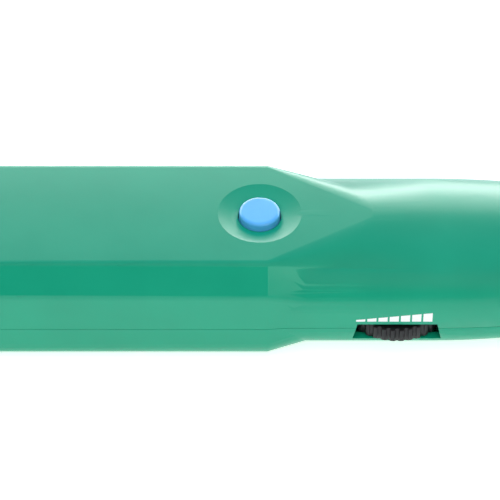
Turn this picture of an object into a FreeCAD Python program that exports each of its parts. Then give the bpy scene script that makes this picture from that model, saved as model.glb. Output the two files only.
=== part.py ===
"""Handheld cable-tracing receiver: a wand with a push button, a thumbwheel and a 9 V battery bay.

Frame: millimetres, +X towards the probe tip, +Z up through the button, back of the case on z = 0,
origin under the middle of the wand. The thumbwheel is on the -Y side, the earphone socket on +Y.
"""
import FreeCAD, Part
import math
import os
import re
import Sketcher

doc = FreeCAD.newDocument("receiver")
V = FreeCAD.Vector

# ---------------------------------------------------------------- driving dimensions
SIZES = {
    "total_length": 218.0,
    "wall": 2.0,
    "gap": 0.3,
    "parting_z": 12.3,
    "seam": 0.05,
    # handle: flat-topped bar with sloped shoulders
    "handle_half": 22.5,
    "shoulder_half": 22.3,
    "shoulder_z": 23.2,
    "plateau_half": 17.6,
    "plateau_z": 31.0,
    "handle_bottom_round": 7.0,
    "shoulder_round": 3.0,
    "plateau_round": 1.8,
    "butt_round": 15.0,
    "butt_edge_round": 5.0,
    # where the handle dies into the neck: its section shrinks from the start to a rounder one at the end
    "taper_start_x": -11.0,
    "taper_end_x": 16.0,
    "taper_half": 20.2,
    "taper_low_z": 9.26,
    "taper_shoulder_z": 17.4,
    "taper_plateau_half": 8.3,
    "taper_shoulder_round": 2.4,
    "taper_plateau_round": 16.6,
    # neck and nose
    "neck_half": 22.0,
    "neck_bottom_z": 3.0,
    "neck_top_round": 11.0,
    "neck_crown_round": 35.0,
    "neck_crown_z": 31.02,
    "neck_bottom_round": 8.0,
    "nose_start_x": 30.0,
    "nose_end_x": 100.0,
    "nose_curve_radius": 231.0,
    "axis_z": 17.0,
    # push button
    "button_x": -13.0,
    "button_radius": 5.15,
    "button_top_z": 31.9,
    "button_flange_radius": 6.6,
    "button_flange_z": 26.1,
    "button_flange_height": 1.2,
    "stem_radius": 2.0,
    "dish_radius": 10.5,
    "dish_depth": 1.6,
    "button_boss_z": 27.6,
    # circuit board
    "board_start_x": -38.0,
    "board_end_x": 62.0,
    "board_half": 14.0,
    "board_z": 16.0,
    "board_thick": 1.6,
    "switch_side": 6.2,
    "switch_height": 3.8,
    "plunger_rise": 1.1,
    "spring_radius": 3.2,
    "spring_wire": 0.25,
    "spring_half_turns": 8.0,
    # volume control
    "wheel_x": 21.3,
    "wheel_y": -9.7,
    "wheel_radius": 13.5,
    "wheel_z": 8.5,
    "wheel_thick": 4.4,
    "wheel_ribs": 38.0,
    "rib_gap_radius": 0.62,
    "pot_side": 8.6,
    "pot_z": 13.6,
    "pot_shaft_radius": 1.5,
    "window_high_half": 9.95,
    "window_low_half": 11.1,
    "window_low_z": 8.1,
    "window_high_z": 13.7,
    "window_depth": 5.0,
    # battery bay
    "battery_start_x": -104.5,
    "battery_length": 48.5,
    "battery_width": 26.5,
    "battery_height": 17.5,
    "battery_z": 3.2,
    "door_half": 15.0,
    "door_tongue": 1.2,
    "door_end_x": -50.0,
    "door_thick": 2.2,
    # speaker
    "speaker_x": -27.0,
    "speaker_radius": 10.0,
    "slot_width": 1.6,
    # screws
    "rear_screw_x": -43.0,
    "rear_screw_y": 16.0,
    "front_screw_x": 66.0,
    "front_screw_y": 9.5,
    "screw_radius": 1.3,
    "screw_head_radius": 2.5,
    "boss_radius": 3.6,
    # light pipe, earphone socket and pick-up coil
    "led_x": 51.0,
    "pipe_radius": 2.5,
    "jack_x": -31.0,
    "jack_z": 13.2,
    "jack_bore_radius": 1.8,
    "jack_neck_radius": 2.9,
    "jack_face_y": 23.2,
    "jack_length": 15.0,
    "coil_start_x": 73.0,
    "coil_length": 18.0,
    "core_radius": 3.0,
    "coil_radius": 5.4,
    "tip_peg_radius": 5.2,
}

sheet = doc.addObject("Spreadsheet::Sheet", "dims")
for row, (alias, value) in enumerate(SIZES.items(), start=1):
    sheet.set(f"A{row}", alias)
    sheet.set(f"B{row}", str(value))
    sheet.setAlias(f"B{row}", alias)
doc.recompute()


def formula(text):
    """An expression on the sheet: each alias in the text gets the sheet's name in front."""
    return re.sub(r"[a-z]\w*", lambda m: ("dims." if m.group(0) in SIZES else "") + m.group(0), str(text))


def bind(obj, properties):
    for name, text in properties.items():
        obj.setExpression(name, formula(text))
    return obj


def dim(alias):
    return float(sheet.get(alias))


# ---------------------------------------------------------------- Part helpers
def box(name, x, y, z):
    """A box between pairs of formulas, one pair for each axis."""
    sizes = {"Length": x, "Width": y, "Height": z}
    solid = doc.addObject("Part::Box", name)
    for (size, (low, high)), axis in zip(sizes.items(), "xyz"):
        bind(solid, {size: f"({high}) - ({low})", f"Placement.Base.{axis}": low})
    return solid


def cylinder(name, radius, x, y, z):
    """An upright cylinder: x and y are its axis, z is a pair of formulas."""
    solid = doc.addObject("Part::Cylinder", name)
    low, high = z
    return bind(solid, {"Radius": radius, "Height": f"({high}) - ({low})", "Placement.Base.x": x,
                        "Placement.Base.y": y, "Placement.Base.z": low})


def lying(name, radius, start, length, direction):
    """A cylinder along +X or +Y, from a start point given as three formulas."""
    solid = doc.addObject("Part::Cylinder", name)
    axis, angle = {"X": (V(0, 1, 0), 90), "Y": (V(1, 0, 0), -90)}[direction]
    solid.Placement = FreeCAD.Placement(V(), FreeCAD.Rotation(axis, angle))
    bind(solid, {"Radius": radius, "Height": length})
    return bind(solid, {f"Placement.Base.{a}": s for a, s in zip("xyz", start)})


def fuse(name, *shapes):
    solid = doc.addObject("Part::MultiFuse", name)
    solid.Shapes = list(shapes)
    solid.Refine = True
    return solid


def cut(name, base, *tools):
    """The base less all of the tools."""
    solid = doc.addObject("Part::Cut", name)
    solid.Base = base
    solid.Tool = tools[0] if len(tools) == 1 else fuse(name + "_tools", *tools)
    solid.Refine = True
    return solid


def common(name, *shapes):
    solid = doc.addObject("Part::MultiCommon", name)
    solid.Shapes = list(shapes)
    solid.Refine = True
    return solid


def rounded(name, base, radius, wanted):
    """A Part::Fillet on the edges of the base whose centre passes the test."""
    doc.recompute()
    edges = [n for n, e in enumerate(base.Shape.Edges, start=1) if wanted(e)]
    solid = doc.addObject("Part::Fillet", name)
    solid.Base = base
    solid.Edges = [(n, radius, radius) for n in edges]
    return solid


def is_circle(edge):
    return edge.Curve.TypeId == "Part::GeomCircle"


# ---------------------------------------------------------------- PartDesign helpers
def plane_of(body, role):
    return next(f for f in body.Origin.OriginFeatures if f.Role == role)


def new_sketch(body, name, role, offset="0"):
    sketch = body.newObject("Sketcher::SketchObject", name)
    sketch.AttachmentSupport = [(plane_of(body, role), "")]
    sketch.MapMode = "FlatFace"
    return bind(sketch, {"AttachmentOffset.Base.z": offset})


def place(sketch, geo, point, u, v):
    """Ties one sketch point to two formulas."""
    for kind, text, value in (("DistanceX", u, 1.0), ("DistanceY", v, 1.0)):
        number = sketch.addConstraint(Sketcher.Constraint(kind, -1, 1, geo, point, value))
        sketch.setExpression(f"Constraints[{number}]", formula(text))


def value_of(text):
    """The number that a formula stands for, to start a sketch near its solved shape."""
    names = {alias: dim(alias) for alias in SIZES if re.search(rf"\b{alias}\b", str(text))}
    number = str(text)
    for alias in sorted(names, key=len, reverse=True):
        number = re.sub(rf"\b{alias}\b", f"({names[alias]!r})", number)
    return float(FreeCAD.Units.Quantity(number.replace("(-", "(0-")).Value)


def polygon(sketch, corners):
    """A closed outline of straight lines through corners given as pairs of formulas."""
    points = [V(value_of(u), value_of(v), 0) for u, v in corners]
    count = len(points)
    for n in range(count):
        sketch.addGeometry(Part.LineSegment(points[n], points[(n + 1) % count]))
    for n in range(count):
        sketch.addConstraint(Sketcher.Constraint("Coincident", n, 2, (n + 1) % count, 1))
    for n, (u, v) in enumerate(corners):
        place(sketch, n, 1, u, v)


def circle(sketch, u, v, radius):
    geo = sketch.addGeometry(Part.Circle(V(value_of(u), value_of(v), 0), V(0, 0, 1), value_of(radius)))
    place(sketch, geo, 3, u, v)
    number = sketch.addConstraint(Sketcher.Constraint("Radius", geo, value_of(radius)))
    sketch.setExpression(f"Constraints[{number}]", formula(radius))


def fix(sketch, kind, *where, text):
    """Adds a sized constraint whose value is an expression."""
    number = sketch.addConstraint(Sketcher.Constraint(kind, *where, value_of(text)))
    sketch.setExpression(f"Constraints[{number}]", formula(text))


def tangent_chain(sketch, arcs, radii, straight):
    """Arcs as (u, v, radius, start, end angle), with their radii as expressions, in a closed tangent chain.

    A line follows each arc in straight. Returns the number of the line that follows each such arc.
    """
    made = [Part.ArcOfCircle(Part.Circle(V(u, v, 0), V(0, 0, 1), r), start, end)
            for u, v, r, start, end in arcs]
    for arc in made:
        sketch.addGeometry(arc)
    chain, lines = [], {}
    for n, arc in enumerate(made):
        chain.append(n)
        if n in straight:
            following = made[(n + 1) % len(made)]
            lines[n] = sketch.addGeometry(Part.LineSegment(arc.EndPoint, following.StartPoint))
            chain.append(lines[n])
    for before, after in zip(chain, chain[1:] + chain[:1]):
        sketch.addConstraint(Sketcher.Constraint("Tangent", before, 2, after, 1))
    for n, text in enumerate(radii):
        fix(sketch, "Radius", n, text=text)
    return lines


def rounded_section(sketch, half, low, high, low_round, high_round):
    """A section symmetric about u = 0 with one radius for both low corners and one for both high ones."""
    w, v0, v1, r0, r1 = (value_of(t) for t in (half, low, high, low_round, high_round))
    quarter = math.pi / 2
    arcs = [(w - r0, v0 + r0, r0, -quarter, 0), (w - r1, v1 - r1, r1, 0, quarter),
            (-w + r1, v1 - r1, r1, quarter, 2 * quarter), (-w + r0, v0 + r0, r0, 2 * quarter, 3 * quarter)]
    lines = tangent_chain(sketch, arcs, (low_round, high_round, high_round, low_round), (0, 1, 2, 3))
    sketch.addConstraint(Sketcher.Constraint("Vertical", lines[0]))
    sketch.addConstraint(Sketcher.Constraint("Horizontal", lines[1]))
    fix(sketch, "DistanceX", -1, 1, lines[0], 1, text=half)
    fix(sketch, "DistanceX", -1, 1, lines[2], 1, text=f"-({half})")
    fix(sketch, "DistanceY", -1, 1, lines[1], 1, text=high)
    fix(sketch, "DistanceY", -1, 1, lines[3], 1, text=low)


def crowned_section(sketch, half, low, low_round, high_round, crown, crown_centre):
    """As a rounded section, but with an arc of radius crown about the height crown_centre across its top."""
    w, v0, r0, r1, r2, v2 = (value_of(t) for t in (half, low, low_round, high_round, crown, crown_centre))
    quarter = math.pi / 2
    lean = math.asin((w - r1) / (r2 - r1))
    shoulder = v2 + (r2 - r1) * math.cos(lean)
    arcs = [(w - r0, v0 + r0, r0, -quarter, 0), (w - r1, shoulder, r1, 0, quarter - lean),
            (0, v2, r2, quarter - lean, quarter + lean), (-w + r1, shoulder, r1, quarter + lean, 2 * quarter),
            (-w + r0, v0 + r0, r0, 2 * quarter, 3 * quarter)]
    lines = tangent_chain(sketch, arcs, (low_round, high_round, crown, high_round, low_round), (0, 3, 4))
    sketch.addConstraint(Sketcher.Constraint("Vertical", lines[0]))
    sketch.addConstraint(Sketcher.Constraint("Horizontal", lines[4]))
    fix(sketch, "DistanceX", -1, 1, lines[0], 1, text=half)
    fix(sketch, "DistanceX", -1, 1, lines[3], 1, text=f"-({half})")
    fix(sketch, "DistanceY", -1, 1, 2, 3, text=crown_centre)
    fix(sketch, "DistanceY", -1, 1, lines[4], 1, text=low)


def pad(body, sketch, length):
    feature = body.newObject("PartDesign::Pad", sketch.Name + "_pad")
    feature.Profile = sketch
    bind(feature, {"Length": length})
    body.Tip = feature
    return feature


# ---------------------------------------------------------------- the wand's outer form and its cavity
def nose_scale(x):
    """How much of the neck's half-width is left at x: a circular arc that leaves the neck tangentially."""
    return f"(1 - ({x} - nose_start_x)^2 / (2 * nose_curve_radius * neck_half))"


def section_at(body, name, x, scale, inset="0"):
    """The neck's rounded section at x, scaled about the nose axis and moved in by the inset."""
    sketch = new_sketch(body, name, "YZ_Plane", x)
    crowned_section(
        sketch,
        f"neck_half * {scale} - {inset}",
        f"axis_z - (axis_z - neck_bottom_z) * {scale} + {inset}",
        f"neck_bottom_round * {scale} - {inset}",
        f"neck_top_round * {scale} - {inset}",
        f"neck_crown_round * {scale} - {inset}",
        f"axis_z + (neck_crown_z - axis_z - neck_crown_round) * {scale}",
    )
    return sketch


def neck_and_nose(name, inset, start, end):
    """The rounded neck as a straight length, then the nose as a loft that narrows to its end."""
    body = doc.addObject("PartDesign::Body", name)
    pad(body, section_at(body, name + "_neck", start, "1", inset), f"nose_start_x - ({start})")
    sections = []
    stations = 5
    for n in range(stations):
        x = f"(nose_start_x + ({end} - nose_start_x) * {n} / {stations - 1})"
        scale = nose_scale(x)
        sections.append(section_at(body, f"{name}_nose_{n}", x, scale, inset))
    loft = body.newObject("PartDesign::AdditiveLoft", name + "_loft")
    loft.Profile = sections[0]
    loft.Sections = sections[1:]
    body.Tip = loft
    return body


def handle_bar(name, inset, start, end):
    """The handle's section, with flat top, sloped shoulders and rounded lower corners."""
    body = doc.addObject("PartDesign::Body", name)
    sketch = new_sketch(body, name + "_section", "YZ_Plane", start)
    polygon(sketch, [
        (f"handle_half - {inset}", f"{inset}"),
        (f"shoulder_half - {inset}", f"shoulder_z - {inset} / 2"),
        (f"plateau_half - {inset} / 2", f"plateau_z - {inset}"),
        (f"-plateau_half + {inset} / 2", f"plateau_z - {inset}"),
        (f"-shoulder_half + {inset}", f"shoulder_z - {inset} / 2"),
        (f"-handle_half + {inset}", f"{inset}"),
    ])
    pad(body, sketch, f"({end}) - ({start})")
    doc.recompute()
    rounds = (("bottom", "handle_bottom_round - " + inset, lambda z: z < 5),
              ("shoulder", "shoulder_round", lambda z: 18 < z < 24),
              ("plateau", "plateau_round", lambda z: z > 28))
    for part, radius, at_height in rounds:
        base = body.Tip
        along = [f"Edge{n}" for n, e in enumerate(base.Shape.Edges, start=1)
                 if e.BoundBox.XLength > 40 and at_height(e.CenterOfMass.z) and abs(e.CenterOfMass.y) > 12
                 and e.BoundBox.ZLength < 0.1 and len(base.Shape.ancestorsOfType(e, Part.Face)) == 2]
        sharp = [e for e in along if is_corner(base.Shape, e)]
        fillet = body.newObject("PartDesign::Fillet", f"{name}_{part}_round")
        fillet.Base = (base, sharp)
        bind(fillet, {"Radius": radius})
        body.Tip = fillet
        doc.recompute()
    return body


def is_corner(shape, edge_name):
    """True when the two faces beside an edge meet at an angle."""
    edge = shape.getElement(edge_name)
    middle = edge.valueAt((edge.FirstParameter + edge.LastParameter) / 2)
    normals = []
    for face in shape.ancestorsOfType(edge, Part.Face):
        u, v = face.Surface.parameter(middle)
        normals.append(face.normalAt(u, v))
    return normals[0].getAngle(normals[1]) > math.radians(10)


def plan_bar(name, inset, end):
    """The handle's outline from above, rounded at the butt end."""
    body = doc.addObject("PartDesign::Body", name)
    sketch = new_sketch(body, name + "_outline", "XY_Plane", "-1")
    sketch.AttachmentOffset = FreeCAD.Placement(V(0, 0, 0), FreeCAD.Rotation(V(0, 0, 1), -90))
    rounded_section(sketch, f"handle_half + 0.1 - {inset}", f"-total_length / 2 + {inset}", end,
                    f"butt_round - {inset}", "1")
    pad(body, sketch, "plateau_z + 2")
    return body


def side_bar(name, end):
    """The handle's outline from the side, rounded at the butt end."""
    body = doc.addObject("PartDesign::Body", name)
    sketch = new_sketch(body, name + "_outline", "XZ_Plane", "-handle_half - 5")
    sketch.AttachmentOffset = FreeCAD.Placement(V(0, 0, 0), FreeCAD.Rotation(V(0, 0, 1), -90))
    bind(sketch, {"AttachmentOffset.Base.y": "plateau_z / 2"})
    rounded_section(sketch, "plateau_z / 2", "-total_length / 2", end, "butt_edge_round", "1")
    pad(body, sketch, "2 * handle_half + 10")
    return body


def tangent_arc(before, corner, after, radius):
    """The start, middle and end of the arc that rounds a corner between two straight runs."""
    back, on = (before - corner).normalize(), (after - corner).normalize()
    half = back.getAngle(on) / 2
    reach = radius / math.tan(half)
    centre = corner + (back + on).normalize() * (radius / math.sin(half))
    return corner + back * reach, centre + (corner - centre).normalize() * radius, corner + on * reach


def rounded_outline(x, corners):
    """A closed wire across the wand at x: the +Y half's corners and radii, lowest first, and their mirror."""
    half = [V(x, y, z) for y, z, _ in corners]
    points = half + [V(x, -p.y, p.z) for p in reversed(half)]
    radii = [r for _, _, r in corners]
    arcs = [tangent_arc(points[n - 1], points[n], points[(n + 1) % len(points)], radius)
            for n, radius in enumerate(radii + radii[::-1])]
    edges = []
    for arc, following in zip(arcs, arcs[1:] + arcs[:1]):
        edges += [Part.Arc(*arc).toShape(), Part.LineSegment(arc[2], following[0]).toShape()]
    return Part.Wire(edges)


def handle_taper():
    """The end of the handle: straight lines from its own section to a smaller and rounder one in the neck."""
    start = [(dim("handle_half"), 0, dim("handle_bottom_round")),
             (dim("shoulder_half"), dim("shoulder_z"), dim("shoulder_round")),
             (dim("plateau_half"), dim("plateau_z"), dim("plateau_round"))]
    end = [(dim("taper_half"), dim("taper_low_z"), dim("handle_bottom_round")),
           (dim("taper_half"), dim("taper_shoulder_z"), dim("taper_shoulder_round")),
           (dim("taper_plateau_half"), dim("plateau_z"), dim("taper_plateau_round"))]
    taper = doc.addObject("Part::Feature", "handle_taper")
    taper.Shape = Part.makeLoft([rounded_outline(dim("taper_start_x"), start),
                                 rounded_outline(dim("taper_end_x"), end)], True, True)
    return taper


outline_end = "taper_start_x + 5"
outer_handle = common("outer_handle", handle_bar("outer_bar", "0", "-total_length / 2", "taper_start_x"),
                      plan_bar("outer_plan", "0", outline_end), side_bar("outer_side", outline_end))
outer_nose = neck_and_nose("outer_neck", "0", "taper_start_x + 1", "nose_end_x")
outer_form = fuse("outer_form", outer_handle, handle_taper(), outer_nose)
cavity_end = "taper_start_x - 2 * wall"
cavity_bar = handle_bar("cavity_bar", "wall", "-total_length / 2 + wall", cavity_end)
cavity_handle = common("cavity_handle", cavity_bar, plan_bar("cavity_plan", "wall", cavity_end))
cavity_nose = neck_and_nose("cavity_neck", "wall", "taper_start_x - 3 * wall", "nose_end_x - 4")
cavity = fuse("cavity", cavity_handle, cavity_nose)
doc.recompute()


# ---------------------------------------------------------------- the two case shells
rear_screws = [("rear_screw_x", "rear_screw_y"), ("rear_screw_x", "-rear_screw_y")]
front_screws = [("front_screw_x", "front_screw_y"), ("front_screw_x", "-front_screw_y")]
board_screws = [("-33", "-10.5"), ("40", "10.5"), ("58", "0")]
post_tops = ["plateau_z - 1.5", "plateau_z - 3", "plateau_z - 3"]
far = "total_length"


def dish():
    """The shallow round hollow about the button: the cap of a large ball."""
    ball = doc.addObject("Part::Sphere", "button_dish")
    ball_radius = "(dish_radius^2 + dish_depth^2) / (2 * dish_depth)"
    return bind(ball, {"Radius": ball_radius, "Placement.Base.x": "button_x",
                       "Placement.Base.z": f"plateau_z - dish_depth + {ball_radius}"})


def wheel_window(name):
    """The opening for the thumbwheel: a block, wider at its foot, that runs in from the side of the case."""
    opening = doc.addObject("Part::Wedge", name)
    opening.Placement = FreeCAD.Placement(V(), FreeCAD.Rotation(V(1, 0, 0), 90))
    return bind(opening, {
        "Xmin": "-window_low_half", "Xmax": "window_low_half", "X2min": "-window_high_half",
        "X2max": "window_high_half", "Ymin": "window_low_z", "Ymax": "window_high_z",
        "Zmin": "0", "Z2min": "0", "Zmax": "window_depth", "Z2max": "window_depth",
        "Placement.Base.x": "wheel_x", "Placement.Base.y": "-neck_half - 1 + window_depth"})


def socket_hole(name):
    return lying(name, "jack_neck_radius + gap", ("jack_x", "neck_half - 4", "jack_z"), "8", "Y")


def peg_hole(name):
    return lying(name, "tip_peg_radius + 0.05", ("nose_end_x - 8", "0", "axis_z"), "12", "X")


def upper_case():
    shell = cut("upper_shell", common("upper_outer", outer_form, box(
        "upper_half", (f"-{far}", far), (f"-{far}", far), ("parting_z + seam", "60"))), cavity)
    adds = [cylinder("button_boss", "button_flange_radius + 2.4", "button_x", "0",
                     ("button_boss_z", "plateau_z - dish_depth"))]
    holes = [dish(), cylinder("button_hole", "button_radius + gap", "button_x", "0", ("20", "40")),
             wheel_window("upper_window"), socket_hole("upper_socket_hole"), peg_hole("upper_peg_hole"),
             cylinder("light_hole", "pipe_radius + 0.1", "led_x", "0", ("24", "40"))]
    for n, (x, y) in enumerate(rear_screws):
        adds.append(cylinder(f"upper_rear_boss_{n}", "boss_radius", x, y,
                             ("parting_z + seam", "plateau_z - 1.5")))
        holes.append(cylinder(f"upper_rear_bore_{n}", "screw_radius", x, y, ("parting_z - 1", "20")))
    for n, (x, y) in enumerate(front_screws):
        adds.append(cylinder(f"upper_front_boss_{n}", "boss_radius", x, y, ("parting_z + seam", "26.6")))
        holes.append(cylinder(f"upper_front_bore_{n}", "screw_radius", x, y, ("parting_z - 1", "20")))
    for n, (x, y) in enumerate(board_screws):
        adds.append(cylinder(f"board_post_{n}", "2.4", x, y, ("board_z + board_thick", post_tops[n])))
        holes.append(cylinder(f"board_post_bore_{n}", "1", x, y, ("board_z", "25")))
    inside = common("upper_adds", outer_form, fuse("upper_bosses", *adds))
    return cut("upper_case", fuse("upper_body", shell, inside), *holes)


def speaker_slots():
    """A round field of straight slots through the back of the case."""
    slots = []
    rows = 5
    for n in range(rows):
        across = (n - (rows - 1) / 2) * 3.2
        half = math.sqrt(8.2 ** 2 - across ** 2)
        slots.append(box(f"speaker_slot_{n}", (f"speaker_x - {half:.3f}", f"speaker_x + {half:.3f}"),
                         (f"{across} - slot_width / 2", f"{across} + slot_width / 2"), ("-1", "wall + 1")))
    return slots


def lower_case():
    shell = cut("lower_shell", common("lower_outer", outer_form, box(
        "lower_half", (f"-{far}", far), (f"-{far}", far), ("-10", "parting_z - seam"))), cavity)
    adds = [cylinder("speaker_ring", "speaker_radius + 1.8", "speaker_x", "0", ("wall - 0.5", "5")),
            box("battery_wall", ("door_end_x + 1", "door_end_x + 2.6"), ("-20", "20"),
                ("1", "parting_z - 3"))]
    holes = [cylinder("speaker_seat", "speaker_radius + 0.1", "speaker_x", "0", ("wall", "8")),
             wheel_window("lower_window"), socket_hole("lower_socket_hole"), peg_hole("lower_peg_hole"),
             box("door_way", (f"-{far}", "door_end_x + gap"), ("-door_half - gap", "door_half + gap"),
                 ("-1", "door_thick + gap")),
             box("door_rails", (f"-{far}", "door_end_x + gap"), ("-door_half - door_tongue - gap",
                 "door_half + door_tongue + gap"), ("0.9 - gap", "door_thick + gap")),
             *speaker_slots()]
    for n, (x, y) in enumerate(rear_screws + front_screws):
        seat = "3" if n < 2 else "8"
        adds.append(cylinder(f"lower_boss_{n}", "boss_radius", x, y, ("1", "parting_z - seam")))
        holes.append(cylinder(f"lower_bore_{n}", "screw_radius + 0.2", x, y, ("-1", "parting_z + 1")))
        holes.append(cylinder(f"lower_sink_{n}", "screw_head_radius + 0.3", x, y, ("-1", seat)))
    inside = common("lower_adds", outer_form, fuse("lower_bosses", *adds))
    return cut("lower_case", fuse("lower_body", shell, inside), *holes)


def battery_door():
    """The sliding cover of the battery bay: the case's own outline, with a tongue along each side."""
    panel = common("door_panel", outer_form, box(
        "door_blank", (f"-{far}", "door_end_x"), ("-door_half", "door_half"), ("-1", "door_thick")))
    tongues = common("door_tongues", outer_form, box(
        "tongue_blank", ("-total_length / 2 + 14", "door_end_x"),
        ("-door_half - door_tongue", "door_half + door_tongue"), ("0.9", "door_thick")))
    grips = [box(f"grip_groove_{n}", (f"-96 + {n * 3}", f"-94.8 + {n * 3}"), ("-8", "8"), ("-1", "0.6"))
             for n in range(5)]
    return cut("battery_door", fuse("door_body", panel, tongues), *grips)


# ---------------------------------------------------------------- controls
end_gap = 0.05
switch_top = "(board_z + board_thick + switch_height)"


def power_button():
    """A round cap with a retaining flange inside the case and a stem that reaches the switch."""
    cap = cylinder("button_cap", "button_radius", "button_x", "0", ("button_flange_z", "button_top_z"))
    soft = rounded("button_soft_cap", cap, 0.9,
                   lambda e: is_circle(e) and e.CenterOfMass.z > dim("plateau_z"))
    flange = cylinder("button_flange", "button_flange_radius", "button_x", "0",
                      ("button_flange_z", "button_flange_z + button_flange_height"))
    stem = cylinder("button_stem", "stem_radius", "button_x", "0",
                    (switch_top + " + plunger_rise", "button_flange_z"))
    return fuse("power_button", soft, flange, stem)


def button_spring():
    """A coil spring about the stem: tilted half circles that climb and meet each other smoothly."""
    x, radius, wire = dim("button_x"), dim("spring_radius"), dim("spring_wire")
    half_turns = int(dim("spring_half_turns"))
    low = dim("board_z") + dim("board_thick") + dim("switch_height") + wire + end_gap
    high = dim("button_flange_z") - wire - end_gap
    rise = (high - low) / half_turns
    arcs = []
    for n in range(half_turns):
        side = 1 if n % 2 == 0 else -1
        z = low + n * rise
        middle = V(x, side * math.hypot(radius, rise / 2), z + rise / 2)
        arcs.append(Part.Arc(V(x + side * radius, 0, z), middle, V(x - side * radius, 0, z + rise)).toShape())
    ring = Part.Wire(Part.Circle(V(x + radius, 0, low), V(0, 1, 0), wire).toShape())
    coil = doc.addObject("Part::Feature", "button_spring")
    coil.Shape = Part.Wire(arcs).makePipeShell([ring], True, False)
    return coil


def switch_body():
    side = "switch_side / 2"
    block = box("switch_block", (f"button_x - {side}", f"button_x + {side}"), (f"-{side}", side),
                ("board_z + board_thick", "board_z + board_thick + switch_height"))
    well = cylinder("switch_well", "1.6", "button_x", "0", ("board_z + board_thick + 1.2", "30"))
    return cut("switch_body", block, well)


def switch_plunger():
    """The switch's moving stud, which the button's stem rests on."""
    return cylinder("switch_plunger", "1.5", "button_x", "0",
                    (switch_top + " - 1.3", switch_top + " + plunger_rise"))


def volume_wheel():
    """A thick disc with a ribbed rim, turning on the control's upright shaft."""
    body = doc.addObject("PartDesign::Body", "volume_wheel")
    rim = new_sketch(body, "wheel_outline", "XY_Plane", "wheel_z")
    circle(rim, "wheel_x", "wheel_y", "wheel_radius")
    circle(rim, "wheel_x", "wheel_y", "pot_shaft_radius")
    disc = pad(body, rim, "wheel_thick")
    doc.recompute()
    edges = [f"Edge{n}" for n, e in enumerate(disc.Shape.Edges, start=1)
             if is_circle(e) and e.Curve.Radius > 5]
    soft = body.newObject("PartDesign::Chamfer", "wheel_soft_edges")
    soft.Base = (disc, edges)
    soft.Size = 0.35
    body.Tip = soft
    notch = new_sketch(body, "wheel_notch", "XY_Plane", "wheel_z - 1")
    circle(notch, "wheel_x", "wheel_y - wheel_radius - 0.05", "rib_gap_radius")
    pocket = body.newObject("PartDesign::Pocket", "wheel_notch_cut")
    pocket.Profile = notch
    pocket.Reversed = True
    bind(pocket, {"Length": "wheel_thick + 2"})
    body.Tip = pocket
    doc.recompute()
    hub = new_sketch(body, "wheel_axis", "XY_Plane")
    bind(hub, {"AttachmentOffset.Base.x": "wheel_x", "AttachmentOffset.Base.y": "wheel_y"})
    circle(hub, "0", "0", "pot_shaft_radius")
    pattern = body.newObject("PartDesign::PolarPattern", "wheel_ribs")
    pattern.Originals = [pocket]
    pattern.Axis = (hub, ["N_Axis"])
    pattern.Angle = 360
    bind(pattern, {"Occurrences": "wheel_ribs"})
    body.Tip = pattern
    return body, pocket, soft


def potentiometer_body():
    side = "pot_side / 2"
    block = box("pot_block", (f"wheel_x - {side}", f"wheel_x + {side}"),
                (f"wheel_y - {side}", f"wheel_y + {side}"), ("pot_z", "board_z"))
    bore = cylinder("pot_bore", "pot_shaft_radius + 0.05", "wheel_x", "wheel_y",
                    ("pot_z - 1", "board_z - 0.6"))
    return cut("potentiometer_body", block, bore)


def potentiometer_shaft():
    post = cylinder("pot_post", "pot_shaft_radius", "wheel_x", "wheel_y", ("wheel_z", "board_z - 0.9"))
    thread = cylinder("pot_thread", "0.8", "wheel_x", "wheel_y", ("wheel_z - 1", "wheel_z + 3.6"))
    return cut("potentiometer_shaft", post, thread)


def screw(name, x, y, seat, length, radius, head_radius, head_height):
    """A pan-head screw that points up, its head under the seat, with a cross recess."""
    shank = cylinder(name + "_shank", radius, x, y, (seat, f"{seat} + {length}"))
    head = cylinder(name + "_head", head_radius, x, y, (f"{seat} - {head_height}", seat))
    reach = f"{head_radius} * 0.6"
    slots = [box(name + "_slot_x", (f"{x} - {reach}", f"{x} + {reach}"), (f"{y} - 0.35", f"{y} + 0.35"),
                 (f"{seat} - {head_height} - 1", f"{seat} - {head_height} + 0.8")),
             box(name + "_slot_y", (f"{x} - 0.35", f"{x} + 0.35"), (f"{y} - {reach}", f"{y} + {reach}"),
                 (f"{seat} - {head_height} - 1", f"{seat} - {head_height} + 0.8"))]
    return cut(name, fuse(name + "_blank", shank, head), *slots)


def group(name, members):
    """Like pieces in one node, as separate solids."""
    together = doc.addObject("Part::Compound", name)
    together.Links = members
    return together


# ---------------------------------------------------------------- electronics
def circuit_board():
    blank = box("board_blank", ("board_start_x", "board_end_x"), ("-board_half", "board_half"),
                ("board_z", "board_z + board_thick"))
    holes = [cylinder(f"board_hole_{n}", "1.2", x, y, ("board_z - 1", "board_z + 3"))
             for n, (x, y) in enumerate(board_screws)]
    return cut("circuit_board", blank, *holes)


def on_board(name, x, y, length, width, height):
    """A block soldered on top of the board, centred at x, y."""
    return box(name, (f"{x - length / 2}", f"{x + length / 2}"), (f"{y - width / 2}", f"{y + width / 2}"),
               ("board_z + board_thick", f"board_z + board_thick + {height}"))


def electronics():
    top = "board_z + board_thick"
    chips = [on_board(f"chip_{n}", x, y, 10, 6, 1.8) for n, (x, y) in enumerate([(4, 6), (22, -5), (36, -4)])]
    cans = [cylinder(f"can_{n}", "2.5", str(x), str(y), (top, top + " + 7")) for n, (x, y) in
            enumerate([(-24, 7), (-24, -1), (12, -7.5), (46, 7)])]
    resistors = [on_board(f"resistor_{n}", -2 + 5 * n, 11.5, 3.2, 1.6, 0.7) for n in range(7)]
    return {"amplifier_chips": group("amplifier_chips", chips),
            "filter_capacitors": group("filter_capacitors", cans),
            "chip_resistors": group("chip_resistors", resistors)}


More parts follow.
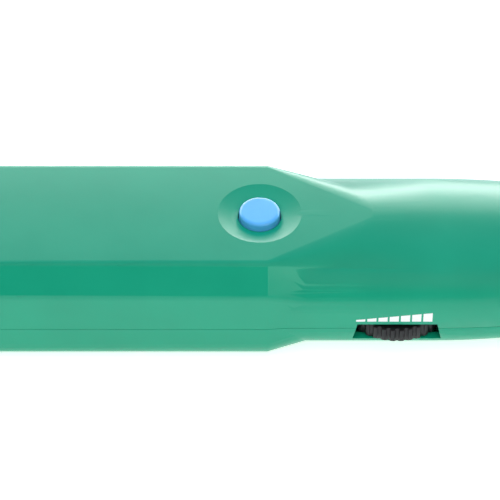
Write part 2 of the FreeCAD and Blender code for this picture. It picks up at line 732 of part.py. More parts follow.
def status_led():
    foot = "board_z + board_thick"
    base = cylinder("led_base", "2.1", "led_x", "0", (foot, foot + " + 0.8"))
    bulb = cylinder("led_bulb", "1.6", "led_x", "0", (foot, foot + " + 2.6"))
    dome = doc.addObject("Part::Sphere", "led_dome")
    bind(dome, {"Radius": "1.6", "Placement.Base.x": "led_x", "Placement.Base.z": foot + " + 2.6"})
    return fuse("status_led", base, bulb, dome)


def light_pipe():
    """A clear stepped rod that carries the light to the top of the case."""
    rod = cylinder("pipe_rod", "pipe_radius", "led_x", "0", ("22.4", "30.7"))
    soft = rounded("pipe_soft_rod", rod, 0.4, lambda e: is_circle(e) and e.CenterOfMass.z > 30)
    flange = cylinder("pipe_flange", "pipe_radius + 1", "led_x", "0", ("25.4", "26.4"))
    return fuse("light_pipe", soft, flange)


def earphone_jack():
    body = box("jack_block", ("jack_x - 3.2", "jack_x + 3.2"), ("8", "neck_half - wall - 0.3"),
               ("jack_z - 2.7", "board_z"))
    neck = lying("jack_neck", "jack_neck_radius", ("jack_x", "neck_half - 3", "jack_z"),
                 "jack_face_y - neck_half + 3", "Y")
    bore = lying("jack_bore", "jack_bore_radius", ("jack_x", "jack_face_y - jack_length", "jack_z"),
                 "jack_length + 1", "Y")
    return cut("earphone_jack", fuse("jack_body", body, neck), bore)


def speaker():
    low = "wall + 0.1"
    rim = cylinder("speaker_rim", "speaker_radius", "speaker_x", "0", (low, "6"))
    inner = cylinder("speaker_inner", "speaker_radius - 1", "speaker_x", "0", ("1", "5"))
    frame = cut("speaker_frame", rim, inner)
    magnet = cylinder("speaker_magnet", "5", "speaker_x", "0", ("6", "8.6"))
    cone = doc.addObject("Part::Cone", "speaker_cone")
    bind(cone, {"Radius1": "speaker_radius - 1.1", "Radius2": "3", "Height": "1.6",
                "Placement.Base.x": "speaker_x", "Placement.Base.z": "wall + 0.9"})
    return {"speaker_frame": frame, "speaker_magnet": magnet, "speaker_cone": cone}


# ---------------------------------------------------------------- battery
def battery():
    high = "battery_z + battery_height"
    end = "battery_start_x + battery_length"
    block = box("battery_block", ("battery_start_x", end), ("-battery_width / 2", "battery_width / 2"),
                ("battery_z", high))
    case = rounded("battery_case", block, 1.5, lambda e: e.BoundBox.XLength > 40)
    middle = "battery_z + battery_height / 2"
    small = lying("battery_stud", "2.85", (end, "6.35", middle), "2.8", "X")
    large = lying("battery_socket", "4.1", (end, "-6.35", middle), "2.8", "X")
    plate = box("snap_plate", (f"{end} + 2.8", f"{end} + 4.4"), ("-12.5", "12.5"),
                ("battery_z + 3", f"{high} - 3"))
    foam = box("foam_pad", ("-96", "-66"), ("-9", "9"), (high, "plateau_z - wall - 0.1"))
    return {"battery_case": case, "battery_terminals": group("battery_terminals", [small, large]),
            "battery_snap": plate, "foam_pad": foam}


def lead(name, points, radius):
    """A thin insulated lead: straight runs joined by arcs that take up 0.45 of the shorter run."""
    edges = []
    start = points[0]
    for before, corner, after in zip(points, points[1:], points[2:]):
        back, on = before - corner, after - corner
        setback = 0.45 * min(back.Length, on.Length)
        arc = tangent_arc(before, corner, after, setback * math.tan(back.getAngle(on) / 2))
        edges += [Part.LineSegment(start, arc[0]).toShape(), Part.Arc(*arc).toShape()]
        start = arc[2]
    edges.append(Part.LineSegment(start, points[-1]).toShape())
    ring = Part.Wire(Part.Circle(points[0], points[1] - points[0], radius).toShape())
    tube = doc.addObject("Part::Feature", name)
    tube.Shape = Part.Wire(edges).makePipeShell([ring], True, False)
    return tube


def leads():
    snap_x = dim("battery_start_x") + dim("battery_length") + 4.4
    top = dim("board_z") + dim("board_thick")
    made = {}
    for name, side in (("battery_lead_red", 1), ("battery_lead_black", -1)):
        y = 4.5 * side
        made[name] = lead(name, [V(snap_x, y, 14), V(snap_x + 5, y, 14), V(snap_x + 9, y * 1.2, 21),
                                 V(-36, y * 1.3, 23), V(-36, y * 1.3, top)], 0.7)
    coil_x = dim("coil_start_x")
    made["coil_leads"] = group("coil_leads", [
        lead(f"coil_lead_{n}", [V(61, y, top), V(61, y, 21.2), V(coil_x, y, 21.2)], 0.45)
        for n, y in enumerate((-3.5, 3.5))])
    return made


# ---------------------------------------------------------------- pick-up and probe tip
def pickup():
    start, end = "coil_start_x", "coil_start_x + coil_length"
    core = lying("ferrite_core", "core_radius", ("coil_start_x - 2", "0", "axis_z"), "coil_length + 4", "X")
    sleeve = lying("bobbin_sleeve", "core_radius + 0.8", (start, "0", "axis_z"), "coil_length", "X")
    cheeks = [lying(f"bobbin_cheek_{n}", "coil_radius + 0.4", (x, "0", "axis_z"), "1", "X")
              for n, x in enumerate((start, f"{end} - 1"))]
    hole = lying("bobbin_hole", "core_radius", (f"{start} - 1", "0", "axis_z"), "coil_length + 2", "X")
    bobbin = cut("coil_bobbin", fuse("bobbin_blank", sleeve, *cheeks), hole)
    turns = lying("coil_turns", "coil_radius", (f"{start} + 1", "0", "axis_z"), "coil_length - 2", "X")
    inner = lying("coil_inner", "core_radius + 0.8", (start, "0", "axis_z"), "coil_length", "X")
    return {"ferrite_core": core, "coil_bobbin": bobbin, "pickup_coil": cut("pickup_coil", turns, inner)}


def probe_tip():
    """The black blunt tip: the nose's own curve closed by a rounded end, with a peg into the case."""
    body = doc.addObject("PartDesign::Body", "tip_form")
    reach = "(total_length / 2 - nose_end_x)"
    sections = []
    stations = 6
    for n in range(stations):
        share = math.sin(n / (stations - 1) * math.pi / 2 * 0.97)
        dome = math.sqrt(1 - share ** 4)
        x = f"(nose_end_x + {reach} * {share:.4f} / {math.sin(math.pi / 2 * 0.97):.4f})"
        scale = f"({nose_scale(x)} * {dome:.4f})"
        sections.append(section_at(body, f"tip_{n}", x, scale))
    loft = body.newObject("PartDesign::AdditiveLoft", "tip_loft")
    loft.Profile = sections[0]
    loft.Sections = sections[1:]
    body.Tip = loft
    peg = lying("tip_peg", "tip_peg_radius", ("nose_end_x - 4", "0", "axis_z"), "5", "X")
    return fuse("probe_tip", body, peg)


# ---------------------------------------------------------------- build, check and write
wheel, notched_once, plain_disc = volume_wheel()
NODES = {
    "upper_case": upper_case(),
    "lower_case": lower_case(),
    "battery_door": battery_door(),
    "power_button": power_button(),
    "button_spring": button_spring(),
    "switch_body": switch_body(),
    "switch_plunger": switch_plunger(),
    "volume_wheel": wheel,
    "potentiometer_body": potentiometer_body(),
    "potentiometer_shaft": potentiometer_shaft(),
    "wheel_screw": screw("wheel_screw", "wheel_x", "wheel_y", "wheel_z", "3.4", "0.8", "2.4", "1.1"),
    "circuit_board": circuit_board(),
    "status_led": status_led(),
    "light_pipe": light_pipe(),
    "earphone_jack": earphone_jack(),
    "probe_tip": probe_tip(),
    "case_screws": group("case_screws", [
        screw(f"case_screw_{n}", x, y, "3" if n < 2 else "8", "14" if n < 2 else "11", "screw_radius",
              "screw_head_radius", "1.8") for n, (x, y) in enumerate(rear_screws + front_screws)]),
    "board_screws": group("board_screws", [
        screw(f"board_screw_{n}", x, y, "board_z", "7", "1", "2", "1.4")
        for n, (x, y) in enumerate(board_screws)]),
    **electronics(),
    **speaker(),
    **battery(),
    **leads(),
    **pickup(),
}
doc.recompute()
one_notch = plain_disc.Shape.Volume - notched_once.Shape.Volume
all_notches = plain_disc.Shape.Volume - wheel.Shape.Volume
if one_notch <= 0 or abs(all_notches / one_notch - dim("wheel_ribs")) > 0.5:
    raise RuntimeError("the wheel's notches are not all cut")
for item in doc.Objects:
    if "Invalid" in item.State or "Error" in item.State:
        raise RuntimeError(f"{item.Name} failed: {item.State} {item.getStatusString()}")
os.makedirs("parts", exist_ok=True)
for node, item in NODES.items():
    item.Label = node
    shape = item.Shape
    if shape.isNull() or not shape.isValid():
        raise RuntimeError(f"{node} has no valid shape")
    shape.exportStep(f"parts/{node}.step")
    bounds = shape.BoundBox
    print(f"{node:22s} solids {len(shape.Solids):2d}  x {bounds.XMin:8.2f} {bounds.XMax:8.2f}"
          f"  y {bounds.YMin:7.2f} {bounds.YMax:7.2f}  z {bounds.ZMin:6.2f} {bounds.ZMax:6.2f}")
print(len(NODES), "nodes written")
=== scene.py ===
"""Looks for a hand-held cable-tracing receiver: a moulded green wand with a push button and a thumbwheel.

Each operator finishes one piece or one group of like pieces. Lengths are metres, and mm() turns
millimetres into them.
"""
import math
import bpy
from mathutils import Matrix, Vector


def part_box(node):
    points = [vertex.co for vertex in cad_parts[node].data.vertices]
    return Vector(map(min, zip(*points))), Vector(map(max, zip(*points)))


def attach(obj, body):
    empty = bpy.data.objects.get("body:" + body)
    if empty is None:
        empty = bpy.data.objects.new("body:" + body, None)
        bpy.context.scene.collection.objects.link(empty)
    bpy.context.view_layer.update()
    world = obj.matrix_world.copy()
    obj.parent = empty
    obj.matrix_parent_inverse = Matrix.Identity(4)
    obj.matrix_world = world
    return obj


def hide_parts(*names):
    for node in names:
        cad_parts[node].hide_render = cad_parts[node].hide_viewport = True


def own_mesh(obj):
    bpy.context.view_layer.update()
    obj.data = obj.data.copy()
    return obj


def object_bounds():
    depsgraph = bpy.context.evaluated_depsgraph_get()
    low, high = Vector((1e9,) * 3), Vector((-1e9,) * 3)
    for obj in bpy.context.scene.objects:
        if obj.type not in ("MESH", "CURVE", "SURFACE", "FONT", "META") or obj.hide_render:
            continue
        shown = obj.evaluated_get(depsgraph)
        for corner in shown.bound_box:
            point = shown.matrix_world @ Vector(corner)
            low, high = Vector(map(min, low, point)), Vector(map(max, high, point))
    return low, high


bl_info = {
    "name": "Cable tracer wand",
    "version": (1, 0, 0),
    "blender": (4, 5, 0),
    "location": "View3D > Sidebar > Wand",
    "description": "Finishes the shells, controls, print and inner parts of a cable-tracing receiver",
    "category": "Object",
}

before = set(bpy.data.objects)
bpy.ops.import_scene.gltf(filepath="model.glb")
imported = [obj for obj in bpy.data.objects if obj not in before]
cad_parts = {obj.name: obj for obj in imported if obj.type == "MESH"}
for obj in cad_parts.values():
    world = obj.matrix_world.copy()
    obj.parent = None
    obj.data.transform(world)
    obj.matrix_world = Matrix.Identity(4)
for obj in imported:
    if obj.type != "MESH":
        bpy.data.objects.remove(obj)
CAD_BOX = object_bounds()
# Faces that turn by less than this are parts of one curve, and the edge between them isn't rounded.
SHARP_EDGE = math.radians(40)


def mm(value):
    """Millimetres to metres."""
    return value * 0.001


def length(name, description, millimetres, precision=5):
    """A length property, with its default in millimetres."""
    return bpy.props.FloatProperty(name=name, description=description, default=mm(millimetres),
                                   unit="LENGTH", precision=precision)


# ---------------------------------------------------------------- what a user would change
class WandColours(bpy.types.PropertyGroup):
    case: bpy.props.StringProperty(name="Case", description="Moulded green of both shells", default="#069C78")
    button: bpy.props.StringProperty(name="Button", description="Light blue of the button", default="#5DBCFF")
    wheel: bpy.props.StringProperty(name="Wheel", description="Black of the thumbwheel", default="#171618")
    ink: bpy.props.StringProperty(name="Ink", description="White printing ink", default="#F4F6F5")
    tip: bpy.props.StringProperty(name="Tip", description="Black of the probe tip", default="#161718")
    copper: bpy.props.StringProperty(name="Copper", description="Enamelled copper wire", default="#B5622E")


class WandMoulding(bpy.types.PropertyGroup):
    edge: length("Edge", "Radius on the sharp edges of the shells and the thumbwheel", 0.15)


class WandPrint(bpy.types.PropertyGroup):
    bars: bpy.props.IntProperty(name="Bars", description="Bars in the printed level scale", default=7, min=2)
    bar_width: length("Bar width", "Width of one bar", 2.28)
    bar_gap: length("Bar gap", "Space between two bars", 0.5)
    low_bar: length("Lowest bar", "Height at the scale's low end", 0.55)
    high_bar: length("Highest bar", "Height at the scale's high end", 3.0)
    lift: length("Scale height", "From the seam up to the bars' feet", 2.5)
    shift: length("Scale shift", "From the wheel's centre to the scale's, along the wand", -0.85)
    ink: length("Ink thickness", "How far the ink stands proud", 0.03, precision=6)


class WandStage(bpy.types.PropertyGroup):
    elevation: bpy.props.FloatProperty(name="Elevation", description="Camera's height angle",
                                       default=math.radians(45), subtype="ANGLE")
    lens: bpy.props.FloatProperty(name="Lens", description="Focal length in millimetres", default=200.0)
    width: length("Frame width", "Width seen at the wand", 126.9)
    aside: length("Aside", "From the button to the middle of the view, along the wand", -2.4)
    aim: length("Aim", "Height that the camera looks at", 17.2)
    card: bpy.props.StringProperty(name="Card", description="Pale floor", default="#F8F8F7")
    sky: bpy.props.StringProperty(name="Sky", description="Cool light from above", default="#C4DCFF")


# ---------------------------------------------------------------- colours and nodes
def linear(hex_colour, factor=1.0):
    """An sRGB hex colour, made lighter or darker by a factor, as linear RGBA."""
    channels = [int(hex_colour[place:place + 2], 16) / 255 for place in (1, 3, 5)]
    curved = [c / 12.92 if c <= 0.04045 else ((c + 0.055) / 1.055) ** 2.4 for c in channels]
    return [min(1.0, c * factor) for c in curved] + [1.0]


def add(tree, kind, inputs=(), stops=(), **settings):
    """Adds a node with its settings. An input given a socket is linked and one given a value is set.
    The stops are a colour ramp's positions and colours."""
    made = tree.nodes.new(kind)
    for name, value in settings.items():
        setattr(made, name, value)
    for name, value in dict(inputs).items():
        if isinstance(value, bpy.types.NodeSocket):
            tree.links.new(value, made.inputs[name])
        else:
            made.inputs[name].default_value = value
    for number, (position, colour) in enumerate(stops):
        if number >= len(made.color_ramp.elements):
            made.color_ramp.elements.new(position)
        made.color_ramp.elements[number].position = position
        made.color_ramp.elements[number].color = colour
    return made


def finish_for(name, hex_colour, roughness, **sockets):
    """A new material with constant sockets, and its node tree, shader and Object coordinates."""
    material = bpy.data.materials.new(name)
    material.use_nodes = True
    material.diffuse_color = linear(hex_colour)
    tree = material.node_tree
    shader = tree.nodes["Principled BSDF"]
    shader.inputs["Base Color"].default_value = linear(hex_colour)
    shader.inputs["Roughness"].default_value = roughness
    for socket, value in sockets.items():
        shader.inputs[socket.replace("_", " ")].default_value = value
    return material, tree, shader, add(tree, "ShaderNodeTexCoord").outputs["Object"]


def patterned(name, hex_colour, roughness, grain_mm, depth_mm, cloud_mm=9.0, contrast=0.06, rub=0.05,
              stretch=(1, 1, 1), **sockets):
    """Cloudy colour and gloss on the scale of cloud_mm, over a grain of grain_mm that stands depth_mm high.

    contrast is how much the clouds lighten and darken the colour, and rub how much they change the
    roughness. stretch squeezes the grain along each axis, as drawing or winding does.
    """
    material, tree, shader, where = finish_for(name, hex_colour, roughness, **sockets)
    cloud = add(tree, "ShaderNodeTexNoise", {"Vector": where, "Scale": 1 / mm(cloud_mm), "Detail": 4})
    tint = add(tree, "ShaderNodeValToRGB", {"Fac": cloud.outputs["Fac"]},
               [(0.3, linear(hex_colour, 1 - contrast)), (0.7, linear(hex_colour, 1 + contrast))])
    gloss = add(tree, "ShaderNodeMapRange", {"Value": cloud.outputs["Fac"], "To Min": roughness - rub,
                                             "To Max": roughness + rub})
    squeezed = add(tree, "ShaderNodeMapping", {"Vector": where, "Scale": stretch})
    grain = add(tree, "ShaderNodeTexNoise", {"Vector": squeezed.outputs["Vector"], "Scale": 1 / mm(grain_mm),
                                             "Detail": 3})
    relief = add(tree, "ShaderNodeBump", {"Height": grain.outputs["Fac"], "Distance": mm(depth_mm)})
    tree.links.new(tint.outputs["Color"], shader.inputs["Base Color"])
    tree.links.new(gloss.outputs["Result"], shader.inputs["Roughness"])
    tree.links.new(relief.outputs["Normal"], shader.inputs["Normal"])
    return material


# ---------------------------------------------------------------- materials
def green_abs(colours):
    """ABS moulded in a finely spark-eroded tool: an even green with a soft, wide highlight. The flow of the
    plastic leaves clouds a few centimetres long, and the grain is drawn coarse enough to show."""
    return patterned("moulded_green_abs", colours.case, 0.32, grain_mm=0.35, depth_mm=0.006, cloud_mm=18,
                     contrast=0.04, IOR=1.5, Specular_IOR_Level=0.38)


def blue_abs(colours):
    """ABS from a polished tool: clear blue, with a tight highlight on its rounded rim."""
    return patterned("moulded_blue_abs", colours.button, 0.3, grain_mm=0.3, depth_mm=0.003, cloud_mm=4,
                     contrast=0.04, IOR=1.53)


def black_wheel(colours):
    """Black acetal: dense and slightly waxy, dust grey where fingers do not rub it."""
    return patterned("moulded_black_acetal", colours.wheel, 0.4, grain_mm=0.25, depth_mm=0.01, cloud_mm=1.2,
                     contrast=0.3, rub=0.1, IOR=1.48, Specular_IOR_Level=0.35)


def white_ink(colours):
    """Pad-printed ink: opaque and nearly matt, with a faint mottle from the pad."""
    return patterned("pad_printed_white_ink", colours.ink, 0.5, grain_mm=0.2, depth_mm=0.003, cloud_mm=0.6,
                     contrast=0.04)


def black_tip(colours):
    """Carbon-filled plastic: dull black, with a coarse moulded texture."""
    return patterned("textured_black_tip", colours.tip, 0.55, grain_mm=0.45, depth_mm=0.03, cloud_mm=5,
                     contrast=0.2, IOR=1.5)


def bright_metal(name, hex_colour, roughness, stretch=(1, 1, 1)):
    """Plated or drawn metal: bright and cloudy, with fine lines where the grain is stretched."""
    return patterned(name, hex_colour, roughness, grain_mm=0.2, depth_mm=0.006, cloud_mm=1.5, contrast=0.15,
                     rub=0.08, stretch=stretch, Metallic=1.0)


def plain_moulding(name, hex_colour, roughness, **sockets):
    """Small inner mouldings and sleeves: a fine grain and faint clouds."""
    return patterned(name, hex_colour, roughness, grain_mm=0.3, depth_mm=0.008, cloud_mm=4, contrast=0.1,
                     IOR=1.5, **sockets)


def pressed_powder(name, hex_colour, roughness, grain_mm=0.25, depth_mm=0.02):
    """Sintered ferrite, moulded epoxy or pressed paper: speckled in colour and height alike."""
    return patterned(name, hex_colour, roughness, grain_mm, depth_mm, cloud_mm=grain_mm * 2, contrast=0.3)


def board_laminate():
    """Glass-epoxy board under green solder mask, with copper tracks 0.4 mm wide showing as lighter lines."""
    mask = "#0F5A2E"
    track_thickness = mm(0.035)
    material, tree, shader, where = finish_for("glass_epoxy_board", mask, 0.35, IOR=1.5)
    tracks = add(tree, "ShaderNodeTexBrick", {"Vector": where, "Scale": 1 / mm(6), "Mortar Size": 0.06,
                                              "Mortar Smooth": 0.2})
    tint = add(tree, "ShaderNodeValToRGB", {"Fac": tracks.outputs["Fac"]},
               [(0.2, linear(mask)), (0.8, linear(mask, 2.1))])
    relief = add(tree, "ShaderNodeBump", {"Height": tracks.outputs["Fac"], "Distance": track_thickness})
    tree.links.new(tint.outputs["Color"], shader.inputs["Base Color"])
    tree.links.new(relief.outputs["Normal"], shader.inputs["Normal"])
    return material


def copper_winding(colours):
    """Enamelled copper wire wound evenly about the wand's axis, its turns drawn 0.4 mm apart."""
    material, tree, shader, where = finish_for("enamelled_copper_winding", colours.copper, 0.3, Metallic=1.0)
    turn = mm(0.4)
    # At a scale of 1 the wave texture repeats at this length.
    wave_length = math.tau / 20
    turns = add(tree, "ShaderNodeTexWave", {"Vector": where, "Scale": wave_length / turn, "Distortion": 0.4},
                bands_direction="X")
    # Painted shade: the grooves between the turns are painted darker, and the crests of the turns are painted
    # a little lighter as a painted highlight.
    tint = add(tree, "ShaderNodeValToRGB", {"Fac": turns.outputs["Fac"]},
               [(0.1, linear(colours.copper, 0.45)), (0.6, linear(colours.copper, 1.15))])
    relief = add(tree, "ShaderNodeBump", {"Height": turns.outputs["Fac"], "Distance": mm(0.12)})
    tree.links.new(tint.outputs["Color"], shader.inputs["Base Color"])
    tree.links.new(relief.outputs["Normal"], shader.inputs["Normal"])
    return material


def open_cell_foam():
    """Polyurethane foam: dark grey and quite matt, with pores about 0.6 mm across."""
    material, tree, shader, where = finish_for("open_cell_foam", "#3C3D3F", 0.95)
    pore = mm(0.6)
    pores = add(tree, "ShaderNodeTexVoronoi", {"Vector": where, "Scale": 1 / pore})
    # Painted shade: the sunken middles of the pores are painted darker than the cell walls around them.
    tint = add(tree, "ShaderNodeValToRGB", {"Fac": pores.outputs["Distance"]},
               [(0.1, linear("#191A1B")), (0.55, linear("#4B4C4F"))])
    relief = add(tree, "ShaderNodeBump", {"Height": pores.outputs["Distance"], "Distance": pore / 2})
    tree.links.new(tint.outputs["Color"], shader.inputs["Base Color"])
    tree.links.new(relief.outputs["Normal"], shader.inputs["Normal"])
    return material


def frosted_acrylic():
    """Turned acrylic rod: clear, with a faintly frosted surface."""
    return patterned("frosted_clear_acrylic", "#EEF3F2", 0.16, grain_mm=0.4, depth_mm=0.003, cloud_mm=1.5,
                     contrast=0.03, rub=0.06, IOR=1.49, Transmission_Weight=0.85)


def red_epoxy():
    """Diffused red epoxy of an indicator lamp: saturated, half clear and glossy."""
    return patterned("tinted_lamp_epoxy", "#C81E14", 0.15, grain_mm=0.4, depth_mm=0.002, cloud_mm=0.8,
                     contrast=0.15, IOR=1.5, Transmission_Weight=0.4)


# ---------------------------------------------------------------- mesh work
def select_only(piece):
    """Makes one object the only selected one, and the active one."""
    bpy.ops.object.select_all(action="DESELECT")
    piece.select_set(True)
    bpy.context.view_layer.objects.active = piece


def apply_all(piece):
    """Applies a piece's modifiers in order."""
    select_only(piece)
    for modifier in list(piece.modifiers):
        bpy.ops.object.modifier_apply(modifier=modifier.name)


def stand_for(node_name, name, material, body, edge=0.0):
    """A merged copy of a CAD node, shown in its place, with its sharp edges rounded to a radius of edge."""
    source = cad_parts[node_name]
    piece = bpy.data.objects.new(name, source.data.copy())
    bpy.context.scene.collection.objects.link(piece)
    select_only(piece)
    bpy.ops.object.mode_set(mode="EDIT")
    bpy.ops.mesh.select_all(action="SELECT")
    bpy.ops.mesh.remove_doubles(threshold=mm(0.001))
    bpy.ops.object.mode_set(mode="OBJECT")
    if edge:
        rounding = piece.modifiers.new("edge", "BEVEL")
        rounding.width = edge
        rounding.segments = 2
        rounding.limit_method = "ANGLE"
        rounding.angle_limit = SHARP_EDGE
        rounding.harden_normals = True
        apply_all(piece)
    piece.data.materials.clear()
    piece.data.materials.append(material)
    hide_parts(node_name)
    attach(piece, body)
    return piece


def dress(material, *node_names):
    """Gives CAD nodes one material in place of their own."""
    for name in node_names:
        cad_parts[name].data.materials.clear()
        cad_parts[name].data.materials.append(material)


def centre_of(node_name):
    """The middle of a CAD node's box."""
    low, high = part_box(node_name)
    return (low + high) / 2


# ---------------------------------------------------------------- operators
class WAND_OT_stage(bpy.types.Operator):
    """Place the camera, lay the pale floor and hang the soft lights"""
    bl_idname = "wand.stage"
    bl_label = "Stage"

    def execute(self, context):
        settings = context.scene.wand_stage
        target = Vector((centre_of("power_button").x + settings.aside, mm(0.7), settings.aim))
        self.camera(context.scene, settings, target)
        self.floor(settings)
        self.tent(context.scene, settings)
        middle = centre_of("upper_case")
        for name, offset, size, radiance in (
                ("near_back_panel", (0, 0.099, 0.042), (0.6, 0.08), 4.0),
                ("low_back_panel", (0, 0.5, 0.07), (1.6, 0.16), 5.0),
                ("right_panel", (0.37, -0.51, 0.16), (0.18, 0.2), 6.0)):
            self.panel(name, middle, offset, size, radiance).visible_diffuse = False
        for name, offset, size, radiance, tint in (
                ("front_fill", (0, -0.5, 0.7), (1.2, 0.8), 2.25, settings.card),
                ("top_fill", (0, 0.25, 0.75), (1.2, 0.6), 1.9, settings.sky)):
            self.panel(name, middle, offset, size, radiance, tint).visible_glossy = False
        return {"FINISHED"}

    def camera(self, scene, settings, target):
        """A long lens, square to the wand's length and tilted down at it."""
        lens = bpy.data.cameras.new("camera")
        lens.lens = settings.lens
        lens.clip_start = mm(10)
        away = settings.width * settings.lens / lens.sensor_width
        sight = Vector((0, -math.cos(settings.elevation), math.sin(settings.elevation)))
        eye = bpy.data.objects.new("camera", lens)
        eye.location = target + sight * away
        eye.rotation_euler = (math.pi / 2 - settings.elevation, 0, 0)
        scene.collection.objects.link(eye)
        scene.camera = eye
        scene.view_settings.view_transform = "Standard"

    def floor(self, settings):
        """Matt white sheet of a light table, faintly mottled, lit from below so that shadows stay faint."""
        gap = mm(0.05)
        card = patterned("white_light_table", settings.card, 0.7, grain_mm=1.0, depth_mm=0.01, cloud_mm=4,
                         contrast=0.01, Emission_Color=linear(settings.card), Emission_Strength=0.7)
        bpy.ops.mesh.primitive_plane_add(size=6, location=(0, 0, CAD_BOX[0].z - gap))
        floor = bpy.context.object
        floor.name = "floor"
        floor.data.materials.append(card)

    def tent(self, scene, settings):
        """Light mostly from the back of the room, so that what faces the camera keeps its deep colour."""
        world = bpy.data.worlds.new("tent")
        world.use_nodes = True
        tree = world.node_tree
        direction = add(tree, "ShaderNodeTexCoord").outputs["Generated"]
        backward = add(tree, "ShaderNodeVectorMath", {0: direction, 1: (0, 1, 0)}, operation="DOT_PRODUCT")
        strength = add(tree, "ShaderNodeMapRange", {"Value": backward.outputs["Value"], "From Min": -0.3,
                                                    "From Max": 1.0, "To Min": 0.02, "To Max": 0.6})
        tree.links.new(strength.outputs["Result"], tree.nodes["Background"].inputs["Strength"])
        tree.nodes["Background"].inputs["Color"].default_value = linear(settings.card)
        scene.world = world

    def panel(self, name, target, offset, size, radiance, tint="#FFFFFF"):
        """A soft panel, out of sight, that faces the target. A radiance of 1 is as bright as a white card."""
        lamp = bpy.data.lights.new(name, "AREA")
        lamp.shape = "RECTANGLE"
        lamp.size, lamp.size_y = size
        lamp.energy = radiance * math.pi * size[0] * size[1]
        lamp.color = linear(tint)[:3]
        holder = bpy.data.objects.new(name, lamp)
        holder.location = target + Vector(offset)
        holder.rotation_euler = (-Vector(offset)).to_track_quat("-Z", "Y").to_euler()
        holder.visible_camera = False
        bpy.context.scene.collection.objects.link(holder)
        return holder


class WAND_OT_shells(bpy.types.Operator):
    """Finish the two case shells and the battery door"""
    bl_idname = "wand.shells"
    bl_label = "Case shells"

    def execute(self, context):
        green = green_abs(context.scene.wand_colours)
        edge = context.scene.wand_moulding.edge
        stand_for("upper_case", "upper_shell", green, "case", edge)
        stand_for("lower_case", "lower_shell", green, "case", edge)
        stand_for("battery_door", "battery_cover", green, "door")
        return {"FINISHED"}


class WAND_OT_controls(bpy.types.Operator):
    """Finish the push button and the thumbwheel"""
    bl_idname = "wand.controls"
    bl_label = "Button and thumbwheel"

    def execute(self, context):
        colours = context.scene.wand_colours
        stand_for("power_button", "push_button", blue_abs(colours), "button")
        edge = context.scene.wand_moulding.edge
        stand_for("volume_wheel", "thumbwheel", black_wheel(colours), "wheel", edge)
        return {"FINISHED"}


class WAND_OT_level_scale(bpy.types.Operator):
    """Print the row of growing bars above the thumbwheel's window"""
    bl_idname = "wand.level_scale"
    bl_label = "Level scale"

    def execute(self, context):
        settings = context.scene.wand_print
        ink = white_ink(context.scene.wand_colours)
        pitch = settings.bar_width + settings.bar_gap
        row = settings.bars * pitch - settings.bar_gap
        start = centre_of("volume_wheel").x + settings.shift - row / 2
        rise = (settings.high_bar - settings.low_bar) / row
        for number in range(settings.bars):
            left = start + number * pitch
            low = settings.low_bar + rise * number * pitch
            bar = self.bar(f"level_bar_{number + 1}", left, low, low + rise * settings.bar_width, settings)
            bar.data.materials.append(ink)
            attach(bar, "case")
        return {"FINISHED"}

    def bar(self, name, left, low, high, settings):
        """One bar: an upright plane, its right side raised, laid on the shell and given the ink's thickness.

        The plane starts clear of the shell and is cut into a grid, so that it can follow the shell's curve.
        """
        clear = mm(2)
        grid_cuts = 7
        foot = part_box("lower_case")[1].z + settings.lift
        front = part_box("upper_case")[0].y - clear
        middle = (left + settings.bar_width / 2, front, foot + low / 2)
        bpy.ops.object.select_all(action="DESELECT")
        bpy.ops.mesh.primitive_plane_add(size=1, location=middle, rotation=(math.pi / 2, 0, 0))
        piece = bpy.context.object
        piece.name = name
        piece.scale = (settings.bar_width, low, 1)
        bpy.ops.object.transform_apply(location=True, rotation=True, scale=True)
        bpy.ops.object.mode_set(mode="EDIT")
        bpy.ops.mesh.select_mode(type="VERT")
        bpy.ops.mesh.select_all(action="DESELECT")
        bpy.ops.object.mode_set(mode="OBJECT")
        for vertex in piece.data.vertices:
            vertex.select = vertex.co.x > middle[0] and vertex.co.z > middle[2]
        bpy.ops.object.mode_set(mode="EDIT")
        bpy.ops.transform.translate(value=(0, 0, high - low))
        bpy.ops.mesh.select_all(action="SELECT")
        bpy.ops.mesh.subdivide(number_cuts=grid_cuts)
        bpy.ops.object.mode_set(mode="OBJECT")
        lay = piece.modifiers.new("lay", "SHRINKWRAP")
        lay.target = bpy.data.objects["upper_shell"]
        lay.wrap_method = "PROJECT"
        lay.use_project_y = True
        thick = piece.modifiers.new("thick", "SOLIDIFY")
        thick.thickness = settings.ink * 2
        thick.offset = 0
        apply_all(piece)
        return piece


class WAND_OT_nose(bpy.types.Operator):
    """Finish the probe tip and the indicator lamp with its light pipe"""
    bl_idname = "wand.nose"
    bl_label = "Probe tip and lamp"

    def execute(self, context):
        tip = black_tip(context.scene.wand_colours)
        stand_for("probe_tip", "nose_tip", tip, "case")
        stand_for("light_pipe", "light_window", frosted_acrylic(), "case")
        dress(red_epoxy(), "status_led")
        return {"FINISHED"}


class WAND_OT_metal(bpy.types.Operator):
    """Finish the screws, the spring, the shaft and the terminals"""
    bl_idname = "wand.metal"
    bl_label = "Metal parts"

    def execute(self, context):
        plated = bright_metal("zinc_plated_steel", "#B9BCC0", 0.32)
        dress(plated, "case_screws", "board_screws", "wheel_screw", "speaker_frame")
        dress(bright_metal("turned_steel", "#A9ABAE", 0.28, (1, 1, 6)), "potentiometer_shaft")
        steel = bright_metal("drawn_spring_steel", "#A7A9AD", 0.25)
        spring = stand_for("button_spring", "return_spring", steel, "case")
        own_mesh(spring)
        dress(bright_metal("nickel_plate", "#CFC8B8", 0.2), "battery_terminals")
        return {"FINISHED"}


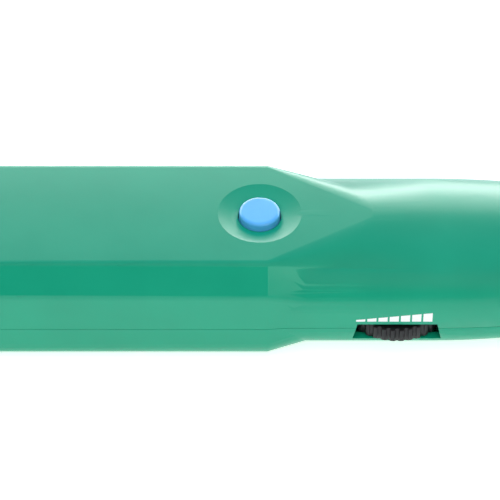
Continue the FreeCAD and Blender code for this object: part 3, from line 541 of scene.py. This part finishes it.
class WAND_OT_electronics(bpy.types.Operator):
    """Finish the circuit board and all that is on it, the speaker and the pick-up coil"""
    bl_idname = "wand.electronics"
    bl_label = "Electronics"

    def execute(self, context):
        colours = context.scene.wand_colours
        dress(plain_moulding("black_filled_nylon", "#1A1A1B", 0.5), "switch_body", "potentiometer_body",
              "earphone_jack", "battery_snap", "coil_bobbin")
        dress(plain_moulding("ivory_acetal", "#E6E2D6", 0.4), "switch_plunger")
        dress(plain_moulding("shrunk_capacitor_sleeve", "#1E2A4E", 0.28), "filter_capacitors")
        dress(board_laminate(), "circuit_board")
        dress(pressed_powder("moulded_chip_epoxy", "#17181A", 0.6), "amplifier_chips")
        dress(pressed_powder("fired_resistor_glaze", "#26272B", 0.3), "chip_resistors")
        dress(pressed_powder("sintered_magnet", "#35363A", 0.5), "speaker_magnet")
        dress(pressed_powder("sintered_ferrite", "#2B2B2E", 0.45), "ferrite_core")
        dress(pressed_powder("pressed_paper", "#26262A", 0.85, 0.4, 0.04), "speaker_cone")
        dress(copper_winding(colours), "pickup_coil")
        dress(bright_metal("enamelled_copper_lead", colours.copper, 0.3), "coil_leads")
        return {"FINISHED"}


class WAND_OT_battery(bpy.types.Operator):
    """Finish the battery, its foam pad and its leads"""
    bl_idname = "wand.battery"
    bl_label = "Battery"

    def execute(self, context):
        dress(plain_moulding("lacquered_battery_jacket", "#202226", 0.25, Coat_Weight=0.3), "battery_case")
        dress(open_cell_foam(), "foam_pad")
        dress(plain_moulding("red_pvc_insulation", "#B9201A", 0.45), "battery_lead_red")
        dress(plain_moulding("black_pvc_insulation", "#17181A", 0.45), "battery_lead_black")
        return {"FINISHED"}


STEPS = (
    WAND_OT_stage,
    WAND_OT_shells,
    WAND_OT_controls,
    WAND_OT_level_scale,
    WAND_OT_nose,
    WAND_OT_metal,
    WAND_OT_electronics,
    WAND_OT_battery,
)
GROUPS = {
    "wand_colours": WandColours,
    "wand_moulding": WandMoulding,
    "wand_print": WandPrint,
    "wand_stage": WandStage,
}


class WAND_PT_panel(bpy.types.Panel):
    """The wand's steps, in the order that they run"""
    bl_idname = "WAND_PT_panel"
    bl_label = "Cable tracer wand"
    bl_space_type = "VIEW_3D"
    bl_region_type = "UI"
    bl_category = "Wand"

    def draw(self, context):
        for step in STEPS:
            self.layout.operator(step.bl_idname)
        for group in GROUPS:
            settings = getattr(context.scene, group)
            for name in settings.__annotations__:
                self.layout.prop(settings, name)


def register():
    for kind in (*GROUPS.values(), *STEPS, WAND_PT_panel):
        bpy.utils.register_class(kind)
    for name, kind in GROUPS.items():
        setattr(bpy.types.Scene, name, bpy.props.PointerProperty(type=kind))


def unregister():
    for name in GROUPS:
        delattr(bpy.types.Scene, name)
    for kind in (WAND_PT_panel, *reversed(STEPS), *reversed(GROUPS.values())):
        bpy.utils.unregister_class(kind)


def main():
    register()
    for step in STEPS:
        getattr(bpy.ops.wand, step.bl_idname.split(".")[1])()


if __name__ == "__main__":
    main()
